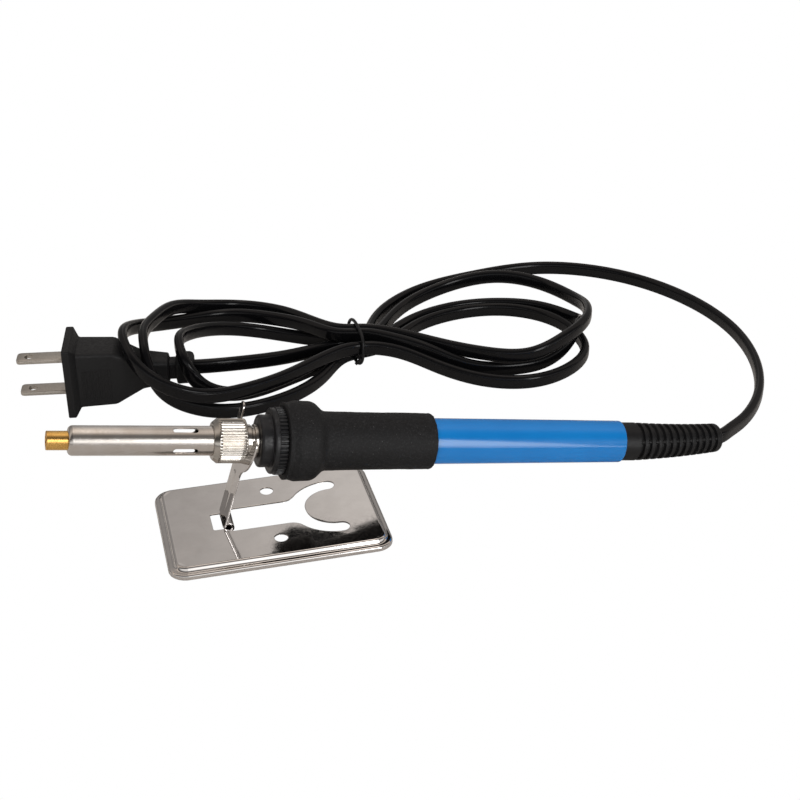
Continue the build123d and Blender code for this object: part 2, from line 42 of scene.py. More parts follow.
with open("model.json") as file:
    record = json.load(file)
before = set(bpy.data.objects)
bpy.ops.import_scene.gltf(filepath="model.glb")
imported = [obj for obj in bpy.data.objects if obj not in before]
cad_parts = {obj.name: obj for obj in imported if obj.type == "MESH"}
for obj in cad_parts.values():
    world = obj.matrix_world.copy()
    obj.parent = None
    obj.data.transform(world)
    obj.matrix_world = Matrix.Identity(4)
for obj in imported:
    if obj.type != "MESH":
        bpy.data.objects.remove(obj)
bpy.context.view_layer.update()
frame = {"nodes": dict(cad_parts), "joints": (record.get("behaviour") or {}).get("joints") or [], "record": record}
MM = 0.001
UP = Vector((0, 0, 1))

joints = {joint["name"]: joint for joint in frame["joints"]}
mounts = {mount["name"]: mount for mount in frame["record"]["mounts"]}


# ---- places taken from the frame ----

def placed(origin, x_axis, y_axis, z_axis):
    """The matrix of a local frame with these axes."""
    matrix = Matrix((x_axis, y_axis, z_axis)).transposed().to_4x4()
    matrix.translation = origin
    return matrix


def local_corners(node, place):
    """Lowest and highest corner of a CAD node, in the local frame of place."""
    inverse = place.inverted()
    points = [inverse @ vertex.co for vertex in frame["nodes"][node].data.vertices]
    low = Vector([min(point[axis] for point in points) for axis in range(3)])
    high = Vector([max(point[axis] for point in points) for axis in range(3)])
    return low, high


# The iron's frame: local x is the distance from the nose along the axis, local z is its own up.
along = -Vector(joints["nut_turn"]["axis"])
side = UP.cross(along).normalized()
iron_up = along.cross(side)
on_axis = Vector(joints["nut_turn"]["pos_m"])
iron = placed(on_axis, along, side, iron_up)
iron.translation = on_axis + along * local_corners("tip_adapter", iron)[0].x


def span(node):
    """Front station, rear station and greatest radius of a turned node on the iron's axis."""
    low, high = local_corners(node, iron)
    return low.x, high.x, high.y


# The plug's frame: local x runs from the blades to the cord, local z is up.
blade_tips = Vector(mounts["plug_blade_pair"]["pos_m"])
plug_along = -Vector(mounts["plug_blade_pair"]["axis"])
plug = placed(blade_tips, plug_along, UP.cross(plug_along), UP)
plug.translation = blade_tips + plug_along * local_corners("plug_body", plug)[0].x

# The fork's frame: local x runs up its stem, local z is square to its sheet, towards the handle.
fork_hinge = Vector(joints["fork_fold"]["pos_m"])
fork_lean = math.radians(90 - joints["fork_fold"]["range_deg"][1])
fork_up = Vector((math.sin(fork_lean), 0, math.cos(fork_lean)))
fork_side = Vector((0, 1, 0))
fork = placed(fork_hinge, fork_up, fork_side, fork_up.cross(fork_side))


# ---- mesh helpers ----

def smooth(piece, sharp):
    """Smooth shading, with an edge where faces meet at more than sharp degrees."""
    piece.data.shade_smooth()
    piece.data.set_sharp_from_angle(angle=math.radians(sharp))
    return piece


def solid(vertices, faces, place=Matrix(), sharp=35):
    """Makes a smooth-shaded piece from local vertices."""
    mesh = bpy.data.meshes.new("piece")
    mesh.from_pydata([place @ Vector(vertex) for vertex in vertices], [], faces)
    work = bmesh.new()
    work.from_mesh(mesh)
    bmesh.ops.remove_doubles(work, verts=work.verts, dist=1e-6)
    bmesh.ops.recalc_face_normals(work, faces=work.faces)
    work.to_mesh(mesh)
    work.free()
    piece = bpy.data.objects.new("piece", mesh)
    bpy.context.scene.collection.objects.link(piece)
    return smooth(piece, sharp)


def settle(piece, body, node, slot, finish=None):
    """Names a piece, puts it on its body in place of a CAD node, and gives it its finish."""
    piece.name = node + "_detail"
    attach(piece, body)
    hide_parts(node)
    coat(piece, slot, finish)


def rounded(corners, steps=5):
    """A closed outline from (x, y, radius) corners, each turned into a soft bend."""
    outline = []
    count = len(corners)
    for index, (x, y, radius) in enumerate(corners):
        corner = Vector((x, y))
        if radius == 0:
            outline.append(corner)
            continue
        back = Vector(corners[index - 1][:2]) - corner
        ahead = Vector(corners[(index + 1) % count][:2]) - corner
        reach = radius / math.tan(back.angle(ahead) / 2)
        reach = min(reach, 0.48 * back.length, 0.48 * ahead.length)
        start = corner + back.normalized() * reach
        end = corner + ahead.normalized() * reach
        for step in range(steps + 1):
            t = step / steps
            outline.append(start * (1 - t) ** 2 + corner * 2 * t * (1 - t) + end * t * t)
    return outline


def resampled(outline, pitch):
    """The same closed outline with extra points, so that no side is longer than pitch."""
    points = []
    for index, point in enumerate(outline):
        ahead = outline[(index + 1) % len(outline)]
        parts = max(1, math.ceil((ahead - point).length / pitch))
        points += [point.lerp(ahead, part / parts) for part in range(parts)]
    return points


def ring_faces(rings, points, closed):
    """Quads between successive rings of points, each ring being closed."""
    faces = []
    for ring in range(rings if closed else rings - 1):
        here = ring * points
        there = (ring + 1) % rings * points
        for point in range(points):
            beside = (point + 1) % points
            faces.append((here + point, here + beside, there + beside, there + point))
    return faces


def lathe(outline, segments=160, relief=None, sharp=35, bend=None):
    """Spins a closed (station, radius) outline about the iron's axis, which bend may curve.

    relief(station, radius, angle) gives the change of radius at a point. Angle 0 faces +Y and 90 is up.
    """
    vertices = []
    for segment in range(segments):
        angle = 2 * math.pi * segment / segments
        for station, radius in outline:
            if relief:
                radius += relief(station, radius, angle)
            vertices.append((station, radius * math.cos(angle), radius * math.sin(angle)))
    if bend:
        vertices = [bend(*vertex) for vertex in vertices]
    return solid(vertices, ring_faces(segments, len(outline), True), iron, sharp)


def skin(rings, place=Matrix(), sharp=35):
    """Joins rings that hold equal numbers of points and closes both ends."""
    count = len(rings[0])
    faces = ring_faces(len(rings), count, False)
    faces.append(tuple(range(count)))
    faces.append(tuple(range((len(rings) - 1) * count, len(rings) * count)))
    return solid([point for ring in rings for point in ring], faces, place, sharp)


def joined(pieces):
    """Merges pieces into the first."""
    first = pieces[0]
    work = bmesh.new()
    for piece in pieces:
        work.from_mesh(piece.data)
    work.to_mesh(first.data)
    work.free()
    for piece in pieces[1:]:
        bpy.data.objects.remove(piece)
    return first


def add(shape, vertices, faces):
    """Adds vertices and faces to a pair of lists."""
    start = len(shape[0])
    shape[0].extend(vertices)
    shape[1].extend(tuple(start + index for index in face) for face in faces)


def add_band(shape, loop, rings):
    """Adds quads through copies of a closed loop. rings lists (distance moved outwards, level)."""
    points = [(point.x, point.y, level) for out, level in rings for point in moved_out(loop, out)]
    add(shape, points, ring_faces(len(rings), len(loop), False))


def plate(outline, holes, low, high, bevel, dip, left_open=()):
    """A flat plate between two levels, with soft edges and soft-edged holes: (vertices, faces).

    dip is the depth of the bevel's middle, as a share of it. Outlines in left_open stay open on both faces.
    """
    lip = 0.1 * MM
    shape = ([], [])
    for level in (low, high):
        gaps = [moved_out(hole, lip) for hole in holes] + list(left_open)
        add(shape, *flat_fill(moved_out(outline, -bevel), gaps, level))
    add_band(shape, outline, (
        (-bevel, low),
        (-0.3 * bevel, low + dip * bevel),
        (0, low + bevel),
        (0, high - bevel),
        (-0.3 * bevel, high - dip * bevel),
        (-bevel, high),
    ))
    for hole in holes:
        add_band(shape, hole, ((lip, low), (0, low + lip), (0, high - lip), (lip, high)))
    return shape


def arc(centre, radius, start, end, steps):
    """Points on a circle from one angle to another, in degrees."""
    points = []
    for step in range(steps + 1):
        angle = math.radians(start + (end - start) * step / steps)
        points.append(Vector(centre) + Vector((math.cos(angle), math.sin(angle))) * radius)
    return points


def stadium(length, thickness, steps=7):
    """A ring with half-round ends: its length runs along local y."""
    reach = (length - thickness) / 2
    top = arc((0, reach), thickness / 2, 0, 180, steps)
    return top + arc((0, -reach), thickness / 2, 180, 360, steps)


# ---- materials ----

class Nodes:
    """Adds nodes to a tree, each with its inputs set to values or joined to other nodes' outputs."""

    def __init__(self, tree):
        self.tree = tree

    def node(self, kind, **inputs):
        made = self.tree.nodes.new(kind)
        for key, value in inputs.items():
            self.put(value, made.inputs[key.replace("_", " ")])
        return made

    def put(self, value, socket):
        if isinstance(value, bpy.types.NodeSocket):
            self.tree.links.new(value, socket)
        else:
            socket.default_value = value

    def math(self, operation, first, second):
        made = self.tree.nodes.new("ShaderNodeMath")
        made.operation = operation
        self.put(first, made.inputs[0])
        self.put(second, made.inputs[1])
        return made.outputs[0]

    def ramp(self, fac, low, high, start=0.35, end=0.65):
        """A value that goes from low to high as fac goes from start to end."""
        made = self.node("ShaderNodeMapRange", Value=fac, From_Min=start, From_Max=end,
                         To_Min=low, To_Max=high)
        return made.outputs["Result"]

    def stops(self, fac, places):
        """A colour ramp through (position, colour) pairs."""
        made = self.node("ShaderNodeValToRGB", Fac=fac)
        elements = made.color_ramp.elements
        elements.remove(elements[1])
        for index, (position, colour) in enumerate(places):
            stop = elements[0] if index == 0 else elements.new(position)
            stop.position = position
            stop.color = (*colour, 1)
        return made.outputs["Color"]

    def to_camera(self, white, other, output):
        """Shows the camera one shader and everything else another."""
        seen = self.tree.nodes.new("ShaderNodeMixShader")
        self.put(self.node("ShaderNodeLightPath").outputs["Is Camera Ray"], seen.inputs[0])
        self.put(other.outputs[0], seen.inputs[1])
        self.put(white.outputs[0], seen.inputs[2])
        self.put(seen.outputs[0], self.tree.nodes[output].inputs["Surface"])


class Finish(Nodes):
    """A small builder for one node material. Sizes and depths are in millimetres."""

    def __init__(self, name, colour, roughness=0.5, metallic=0.0, **inputs):
        self.material = bpy.data.materials.new(name)
        self.material.use_nodes = True
        super().__init__(self.material.node_tree)
        self.shader = self.tree.nodes["Principled BSDF"]
        self.colour = colour
        settings = {"Base_Color": (*colour, 1), "Roughness": roughness, "Metallic": metallic, **inputs}
        for key, value in settings.items():
            self.put(value, self.shader.inputs[key.replace("_", " ")])
        self.place = self.node("ShaderNodeTexCoord").outputs["Object"]

    def noise(self, size, detail, stretch=None):
        """Noise whose lumps are about size across. stretch scales it along the iron's own axes."""
        place = self.place
        if stretch is not None:
            turned = self.node("ShaderNodeMapping", Vector=place, Rotation=TURNED).outputs["Vector"]
            place = self.node("ShaderNodeMapping", Vector=turned, Scale=stretch).outputs["Vector"]
        made = self.node("ShaderNodeTexNoise", Vector=place, Scale=1 / (size * MM), Detail=detail)
        return made.outputs["Fac"]

    def mix(self, fac, other, start, end):
        """Moves the colour towards another one as fac goes from start to end."""
        made = self.tree.nodes.new("ShaderNodeMix")
        made.data_type = "RGBA"
        base = self.shader.inputs["Base Color"]
        # the colour sockets of a Mix node are inputs 6 and 7, and its colour output is number 2
        self.put(base.links[0].from_socket if base.is_linked else (*self.colour, 1), made.inputs[6])
        self.put((*other, 1), made.inputs[7])
        self.put(self.ramp(fac, 0, 1, start, end), made.inputs[0])
        self.put(made.outputs[2], base)
        return self

    def roughen(self, size, low, high, detail=3):
        """Uneven roughness."""
        self.put(self.ramp(self.noise(size, detail), low, high), self.shader.inputs["Roughness"])
        return self

    def tint(self, size, other, start=0.35, end=0.65, detail=3):
        """Cloudy patches of another colour."""
        return self.mix(self.noise(size, detail), other, start, end)

    def specks(self, size, other, start, end):
        """Small spots of another colour, about size apart."""
        cells = self.node("ShaderNodeTexVoronoi", Vector=self.place, Scale=1 / (size * MM))
        return self.mix(cells.outputs["Distance"], other, start, end)

    def bump(self, size, depth, detail=3, stretch=None):
        """Relief of about this depth. Calls add up."""
        fac = self.noise(size, detail, stretch)
        made = self.node("ShaderNodeBump", Height=fac, Distance=depth * MM)
        normal = self.shader.inputs["Normal"]
        if normal.is_linked:
            self.put(normal.links[0].from_socket, made.inputs["Normal"])
        self.put(made.outputs["Normal"], normal)
        return self


# lays the texture's x along the iron
TURNED = (0, -math.atan2(-along.z, along.x), 0)

finishes = {
    "brass": Finish("brass", (0.83, 0.50, 0.15), metallic=1)
    .roughen(0.6, 0.19, 0.30)
    .tint(2.5, (0.74, 0.42, 0.12))
    .bump(0.3, 0.004, stretch=(1, 0.1, 0.1)),
    "stainless": Finish("stainless", (0.66, 0.63, 0.60), metallic=1)
    .roughen(0.8, 0.16, 0.24, detail=4)
    .tint(5, (0.61, 0.57, 0.53))
    .bump(0.4, 0.002, detail=2, stretch=(0.12, 1, 1)),
    "nickel": Finish("nickel", (0.56, 0.53, 0.49), metallic=1)
    .roughen(0.6, 0.09, 0.16, detail=4)
    .tint(1.5, (0.48, 0.45, 0.41))
    .bump(0.6, 0.004),
    "stand_nickel": Finish("sheet_metal", (0.74, 0.715, 0.70), metallic=1)
    .roughen(0.8, 0.04, 0.08, detail=4)
    .tint(6, (0.69, 0.665, 0.65))
    .bump(9, 0.012, detail=1),
    "black_resin": Finish("resin", (0.009, 0.009, 0.010), Specular_IOR_Level=0.28)
    .roughen(0.7, 0.28, 0.44, detail=4)
    .tint(1.5, (0.022, 0.022, 0.024), 0.55, 0.8, detail=4)
    .bump(0.3, 0.012),
    "blue_plastic": Finish("blue_plastic", (0.004, 0.140, 0.41))
    .roughen(3, 0.08, 0.12)
    .tint(12, (0.005, 0.150, 0.43))
    .bump(2.5, 0.004, detail=1),
    "foam": Finish("foam", (0.0045, 0.0045, 0.005), roughness=0.6, Specular_IOR_Level=0.25)
    .tint(0.5, (0.014, 0.014, 0.015), 0.5, 0.72, detail=2)
    .specks(1.6, (0.10, 0.10, 0.10), 0.07, 0.045)
    .bump(0.35, 0.14)
    .bump(1.4, 0.10, detail=2),
    "boot_black": Finish("soft_black", (0.006, 0.006, 0.0065), Specular_IOR_Level=0.26)
    .roughen(0.9, 0.34, 0.50, detail=4)
    .bump(0.4, 0.012),
    "cord_black": Finish("cord_black", (0.003, 0.003, 0.0035), Specular_IOR_Level=0.2)
    .roughen(2, 0.13, 0.20)
    .bump(1.6, 0.02, detail=2),
    "plug_black": Finish("plug_black", (0.007, 0.007, 0.0075), Specular_IOR_Level=0.24)
    .roughen(0.8, 0.42, 0.60, detail=4)
    .bump(0.35, 0.02),
}
blade_finish = (
    Finish("blade_metal", (0.62, 0.58, 0.53), metallic=1)
    .roughen(0.35, 0.28, 0.5, detail=5)
    .tint(0.5, (0.45, 0.42, 0.38), 0.4, 0.75, detail=4)
    .bump(0.25, 0.02, detail=4)
)
# the slots that only pieces inside the housings have
for slot, colour, roughness, metallic in (
    ("ceramic", (0.42, 0.41, 0.39), 0.55, 0),
    ("sleeving", (0.75, 0.73, 0.64), 0.8, 0),
    ("core_white", (0.72, 0.72, 0.70), 0.4, 0),
    ("zinc_steel", (0.50, 0.50, 0.50), 0.4, 1),
):
    made = Finish(slot, colour, metallic=metallic)
    finishes[slot] = made.roughen(0.8, roughness * 0.8, roughness * 1.25).bump(0.3, 0.02)


def coat(piece, slot, finish=None):
    """Gives a piece the finish of its material slot, or another one."""
    piece.data.materials.clear()
    piece.data.materials.append((finish or finishes[slot]).material)


# ---- the iron ----

tip_rear, shoulder_r = span("tip_adapter")[1:]
barrel_front, barrel_rear, barrel_flange_r = span("barrel_sleeve")
nut_front, nut_rear, nut_r = span("union_nut")
ferrule_front, ferrule_rear, neck_r = span("threaded_ferrule")
collar_front, collar_rear, collar_flange_r = span("front_collar")
tube_front, tube_rear, tube_r = span("handle_tube")
grip_front, grip_rear, bulge_r = span("grip_sleeve")
boot_front = span("strain_relief")[0]
boot_r = -local_corners("strain_relief", iron)[0].y
heater_r = span("heater_rod")[2]


def make_tip():
    """Hollow brass nose with an internal thread, a shoulder and a thin sleeve over the heater."""
    nose_r = 2.9 * MM
    thread = mounts["tip_thread"]["dims"]
    thread_r = thread["r_mm"] * MM
    thread_end = thread["length_mm"] * MM
    pitch = 0.7 * MM
    bore_r = heater_r + 0.15 * MM
    sleeve_r = 3.3 * MM
    shoulder_rear = barrel_front + 3.0 * MM
    outline = rounded((
        (0, thread_r + 0.25 * MM, 0.1 * MM),
        (0, nose_r, 0.3 * MM),
        (barrel_front + 1.0 * MM, nose_r, 0),
        (barrel_front + 1.0 * MM, shoulder_r, 0.15 * MM),
        (shoulder_rear, shoulder_r, 0.15 * MM),
        (shoulder_rear, sleeve_r, 0),
        (tip_rear, sleeve_r, 0.1 * MM),
        (tip_rear, bore_r, 0.1 * MM),
        (thread_end + 3.0 * MM, bore_r, 0),
        (thread_end + 3.0 * MM, 0.02 * MM, 0),
        (thread_end, 0.02 * MM, 0),
        (thread_end, thread_r, 0),
    ))
    outline = resampled(outline, 0.2 * MM)

    def helix(station, radius, angle):
        if radius > thread_r + 0.05 * MM or radius < thread_r - 0.05 * MM or station > thread_end:
            return 0
        return 0.15 * MM * math.sin(2 * math.pi * station / pitch + angle)

    settle(lathe(outline, 96, helix), "tip", "tip_adapter", "brass")


def make_barrel():
    """Thin tube with a rolled front lip and four vent slots."""
    barrel_r = 4.55 * MM
    wall = 0.4 * MM
    mouth_r = 2.95 * MM
    flange = 1.2 * MM
    lip = 1.4 * MM
    outline = arc((barrel_front + lip, barrel_r - lip), lip, 180, 90, 10)
    outline += rounded((
        (barrel_rear - flange, barrel_r, 0.1 * MM),
        (barrel_rear - flange, barrel_flange_r, 0.2 * MM),
        (barrel_rear, barrel_flange_r, 0.2 * MM),
        (barrel_rear, barrel_r - wall, 0),
        (barrel_front + lip, barrel_r - wall, 0),
        (barrel_front + lip, barrel_r, 0),
    ))[:-2]
    outline += arc((barrel_front + lip, barrel_r - lip), lip - wall, 90, 180, 8)
    outline += [Vector((barrel_front + wall, mouth_r)), Vector((barrel_front + 0.1 * MM, mouth_r))]
    barrel = lathe(outline)
    slot_centre = barrel_front + 34.75 * MM
    first_vent = math.radians(16)
    for vent in range(4):
        # local x along the tube, local z outward
        turn = first_vent + vent * math.pi / 2
        outward = iron_up.copy()
        outward.rotate(Matrix.Rotation(turn, 3, along))
        place = placed(iron @ Vector((slot_centre, 0, 0)), along, outward.cross(along), outward)
        ring = [(y, x) for x, y in stadium(7.7 * MM, 2.0 * MM)]
        rings = [[(x, y, z) for x, y in ring] for z in (3.0 * MM, 6.0 * MM)]
        cutter = skin(rings, place)
        cut = barrel.modifiers.new("vent", "BOOLEAN")
        cut.operation = "DIFFERENCE"
        cut.solver = "EXACT"
        cut.object = cutter
        apply_modifiers(barrel)
        bpy.data.objects.remove(cutter)
    settle(smooth(barrel, 35), "barrel", "barrel_sleeve", "stainless")


def apply_modifiers(piece):
    """Bakes the piece's modifiers into its mesh."""
    bpy.context.view_layer.update()
    shape = piece.evaluated_get(bpy.context.evaluated_depsgraph_get())
    mesh = bpy.data.meshes.new_from_object(shape)
    piece.modifiers.clear()
    piece.data = mesh


def flatten_shading(piece):
    """Smooth shading in which large flat faces keep their own normal."""
    smooth(piece, 50)
    weighted = piece.modifiers.new("weighted", "WEIGHTED_NORMAL")
    weighted.weight = 100
    weighted.keep_sharp = True
    apply_modifiers(piece)


def make_nut():
    """Straight-knurled nut with a cone at the front."""
    ridges = 40
    bore_front = 4.6 * MM
    bore_rear = 4.85 * MM
    pocket_r = barrel_flange_r + 0.15 * MM
    pocket_front = barrel_rear - 1.3 * MM
    pocket_rear = barrel_rear + 0.7 * MM
    knurl_front = nut_front + 1.75 * MM
    knurl_rear = nut_rear - 0.45 * MM
    outline = resampled(rounded((
        (nut_front, bore_front, 0.1 * MM),
        (nut_front, 5.7 * MM, 0.35 * MM),
        (nut_front + 1.5 * MM, nut_r, 0.25 * MM),
        (nut_rear, nut_r, 0.55 * MM),
        (nut_rear, bore_rear, 0.1 * MM),
        (pocket_rear, bore_rear, 0),
        (pocket_rear, pocket_r, 0),
        (pocket_front, pocket_r, 0),
        (pocket_front, bore_front, 0),
    )), 0.35 * MM)

    def knurl(station, radius, angle):
        if radius < nut_r - 0.12 * MM:
            return 0
        fade = min(1, max(0, (station - knurl_front) / (0.4 * MM)))
        fade *= min(1, max(0, (knurl_rear - station) / (0.15 * MM)))
        wave = 0.5 - 0.5 * math.cos(ridges * angle)
        return -0.42 * MM * fade * wave ** 1.5

    settle(lathe(outline, ridges * 10, knurl, 60), "nut", "union_nut", "nickel")


def make_ferrule():
    """Threaded ferrule: thread under the nut, two polished rings with a groove between, plain tail."""
    bore = 3.3 * MM
    thread_r = 4.8 * MM
    thread_end = nut_rear + 0.1 * MM
    ring_r = neck_r - 0.15 * MM
    groove_front = nut_rear + 1.6 * MM
    groove_rear = groove_front + 1.0 * MM
    pitch = 1.0 * MM
    outline = resampled(rounded((
        (ferrule_front, bore, 0.1 * MM),
        (ferrule_front, thread_r - 0.2 * MM, 0.2 * MM),
        (thread_end, thread_r - 0.2 * MM, 0),
        (thread_end, ring_r, 0.2 * MM),
        (groove_front, ring_r, 0.25 * MM),
        (groove_front + 0.2 * MM, ring_r - 0.55 * MM, 0.15 * MM),
        (groove_rear - 0.1 * MM, ring_r - 0.55 * MM, 0.15 * MM),
        (groove_rear, neck_r, 0.25 * MM),
        (collar_front - 0.05 * MM, neck_r, 0.1 * MM),
        (collar_front - 0.05 * MM, 4.2 * MM, 0),
        (ferrule_rear, 4.2 * MM, 0.2 * MM),
        (ferrule_rear, bore, 0.1 * MM),
    )), 0.15 * MM)

    def thread(station, radius, angle):
        if station > thread_end - 0.15 * MM or radius < thread_r - 0.25 * MM:
            return 0
        return 0.18 * MM * math.sin(2 * math.pi * station / pitch + angle)

    settle(lathe(outline, 128, thread), "iron", "threaded_ferrule", "nickel")


def make_collar():
    """Black resin collar: a soft-edged drum, then a flange whose rim is finely ribbed."""
    ribs = 48
    collar_r = 8.2 * MM
    flange_front = collar_front + 3.7 * MM
    rib_front = flange_front + 1.5 * MM
    flange_rear = grip_front - 0.05 * MM
    spigot_r = tube_r - 0.85 * MM
    spigot_bore = 5.4 * MM
    inner_wall_rear = collar_front + 7.0 * MM
    tail_fit = 4.25 * MM
    lip_r = collar_flange_r - 0.3 * MM
    outline = resampled(rounded((
        (collar_front, tail_fit, 0.1 * MM),
        (collar_front, collar_r, 0.9 * MM),
        (flange_front, collar_r - 0.1 * MM, 0.35 * MM),
        (flange_front, lip_r, 0.6 * MM),
        (rib_front, lip_r, 0.05 * MM),
        (rib_front, collar_flange_r, 0.15 * MM),
        (flange_rear, collar_flange_r, 0.15 * MM),
        (flange_rear, tube_r, 0),
        (tube_front - 0.05 * MM, tube_r, 0),
        (tube_front - 0.05 * MM, spigot_r, 0),
        (collar_rear, spigot_r, 0.2 * MM),
        (collar_rear, spigot_bore, 0.2 * MM),
        (inner_wall_rear, spigot_bore, 0.1 * MM),
        (inner_wall_rear, tail_fit, 0),
    )), 0.4 * MM)

    def rib(station, radius, angle):
        if station < rib_front - 0.02 * MM or radius < lip_r + 0.05 * MM:
            return 0
        wave = 0.5 + 0.5 * math.cos(ribs * angle)
        return -0.55 * MM * max(0, 1 - (wave * 1.9) ** 2)

    settle(lathe(outline, ribs * 10, rib, 50), "iron", "front_collar", "black_resin")


def make_grip():
    """Foam sleeve with a flared front lip, a bulge, a waist and a long plain stretch."""
    bore = tube_r + 0.02 * MM
    grip_r = 9.05 * MM
    crown = bulge_r
    offsets = (
        (0.0, 11.3, 0.3),
        (0.2, 12.25, 0.5),
        (1.5, 11.9, 0.8),
        (3.6, crown / MM, 2.5),
        (9.4, 12.4, 4.0),
        (12.6, 9.3, 3.2),
        (16.5, 9.2, 3.0),
        (30.0, 9.05, 3.0),
    )
    corners = [(grip_front + at * MM, radius * MM, bend * MM) for at, radius, bend in offsets]
    corners += [
        (grip_rear, grip_r - 0.15 * MM, 2.6 * MM),
        (grip_rear, bore, 0.15 * MM),
        (grip_front, bore, 0.15 * MM),
    ]
    outline = resampled(rounded(corners, 7), 0.45 * MM)

    def lumps(station, radius, angle):
        if radius < bore + 0.4 * MM:
            return 0
        across = Vector((station, 9 * MM * math.cos(angle), 9 * MM * math.sin(angle)))
        change = 0.09 * MM * noise.noise(across / (6 * MM))
        change += 0.045 * MM * noise.noise(across / (0.9 * MM))
        edge = min(station - grip_front, grip_rear - station)
        ragged = max(0, 1 - edge / (1.2 * MM))
        return change + ragged * 0.3 * MM * noise.noise(across / (1.3 * MM))

    settle(lathe(outline, 240, lumps, 80), "iron", "grip_sleeve", "foam")


def make_tube():
    """Glossy handle tube, drawn in slightly towards the boot, with a rounded rear rim."""
    wall = 0.8 * MM
    rear_r = 6.9 * MM
    outline = resampled(rounded((
        (tube_front, tube_r - wall, 0),
        (tube_front, tube_r, 0.1 * MM),
        (grip_rear, tube_r, 20 * MM),
        (tube_rear, rear_r, 0.55 * MM),
        (tube_rear, rear_r - wall, 0.1 * MM),
        (grip_rear, tube_r - wall, 0),
    )), 3 * MM)
    settle(lathe(outline), "iron", "handle_tube", "blue_plastic")


# The boot curves sideways behind its shoulder, and the iron_lift joint sits on the top rim of its end.
tail_rim = iron.inverted() @ Vector(joints["iron_lift"]["pos_m"])
boot_turn = math.radians(9.5)
bend_r = tail_rim.y / (1 - math.cos(boot_turn))
boot_shoulder = tail_rim.x - bend_r * math.sin(boot_turn)
tail = boot_shoulder + bend_r * boot_turn


def bent(station, sideways, upward):
    """A point of the straight boot, moved to where the curved boot has it."""
    turn = max(0, station - boot_shoulder) / bend_r
    reach = bend_r - sideways
    return min(station, boot_shoulder) + reach * math.sin(turn), bend_r - reach * math.cos(turn), upward


def make_boot():
    """Strain relief: a plain cuff, then twelve rings joined by four webs, tapering to the cord."""
    rings = 12
    tail_r = tail_rim.z
    spigot_r = 5.95 * MM
    pitch = (tail - boot_shoulder) / (rings + 0.5)
    depth = 1.15 * MM
    cord_r = 1.62 * MM
    web_angle = math.radians(62)
    outline = resampled(rounded((
        (boot_front, cord_r, 0),
        (boot_front, spigot_r, 0.2 * MM),
        (tube_rear + 0.05 * MM, spigot_r, 0),
        (tube_rear + 0.05 * MM, boot_r, 0.35 * MM),
        (boot_shoulder, boot_r, 2 * MM),
        (tail, tail_r, 0.7 * MM),
        (tail, cord_r, 0),
    )), 0.16 * MM)

    def groove(station, radius, angle):
        if station < boot_shoulder or station > tail - 0.5 * pitch or radius < spigot_r * 0.6:
            return 0
        phase = (station - boot_shoulder) / pitch % 1
        dip = max(0, 1 - (abs(phase - 0.35) / 0.27) ** 6)
        off_web = abs((angle - web_angle + math.pi / 4) % (math.pi / 2) - math.pi / 4)
        web = max(0, 1 - (off_web * radius / (0.75 * MM)) ** 4)
        return -depth * dip * (1 - 0.62 * web)

    settle(lathe(outline, 176, groove, 50, bent), "iron", "strain_relief", "boot_black")


# ---- the stand ----

def fork_outline(centre, stem_from, half_stem, inner, outer, waist=5 * MM, steps=24):
    """The Y outline, anticlockwise: stem, waist bends, outer arc, round prong ends and inner arc."""
    prong = (outer - inner) / 2
    middle = inner + prong
    bend_x = centre - math.sqrt((outer + waist) ** 2 - (half_stem + waist) ** 2)
    lean = math.degrees(math.atan2(half_stem + waist, centre - bend_x))
    points = [Vector((stem_from, -half_stem))]
    points += arc((bend_x, -half_stem - waist), waist, 90, 90 - (90 - lean), 8)
    points += arc((centre, 0), outer, 180 + lean, 270, steps)[1:]
    points += arc((centre, -middle), prong, -90, 90, 10)[1:]
    points += arc((centre, 0), inner, 270, 90, 2 * steps)[1:]
    points += arc((centre, middle), prong, -90, 90, 10)[1:]
    points += arc((centre, 0), outer, 90, 180 - lean, steps)[1:]
    points += arc((bend_x, half_stem + waist), waist, lean - 90, -90, 8)[1:]
    points.append(Vector((stem_from, half_stem)))
    return points


def moved_out(outline, distance):
    """The closed outline offset to its right by distance, which is outward when it runs anticlockwise."""
    result = []
    count = len(outline)
    for index, point in enumerate(outline):
        back = (point - outline[index - 1]).normalized()
        ahead = (outline[(index + 1) % count] - point).normalized()
        normal = Vector((back.y + ahead.y, -back.x - ahead.x)).normalized()
        square = max(0.5, normal.dot(Vector((back.y, -back.x))))
        result.append(point + normal * distance / square)
    return result


def rounded_rectangle(half_x, half_y, radius, steps=10):
    """Anticlockwise outline with round corners."""
    points = []
    for quarter, (sign_x, sign_y) in enumerate(((1, 1), (-1, 1), (-1, -1), (1, -1))):
        centre = (sign_x * (half_x - radius), sign_y * (half_y - radius))
        points += arc(centre, radius, 90 * quarter, 90 * quarter + 90, steps)
    return points


def flat_fill(outer, holes, height):
    """Triangles between an outer outline and its holes, at one height: (vertices, faces)."""
    loops = [outer] + holes
    points = []
    edges = []
    for loop in loops:
        start = len(points)
        points += loop
        edges += [(start + index, start + (index + 1) % len(loop)) for index in range(len(loop))]
    corners, _, faces = geometry.delaunay_2d_cdt(points, edges, [], 1, 1e-9)[:3]
    kept = []
    for face in faces:
        middle = sum((corners[index] for index in face), Vector((0, 0))) / len(face)
        if inside(middle, outer) and not any(inside(middle, hole) for hole in holes):
            kept.append(tuple(face))
    return [(point.x, point.y, height) for point in corners], kept


def inside(point, outline):
    """Whether a point lies within a closed outline."""
    within = False
    for index, here in enumerate(outline):
        before = outline[index - 1]
        if (here.y > point.y) != (before.y > point.y):
            crossing = here.x + (point.y - here.y) / (before.y - here.y) * (before.x - here.x)
            if point.x < crossing:
                within = not within
    return within


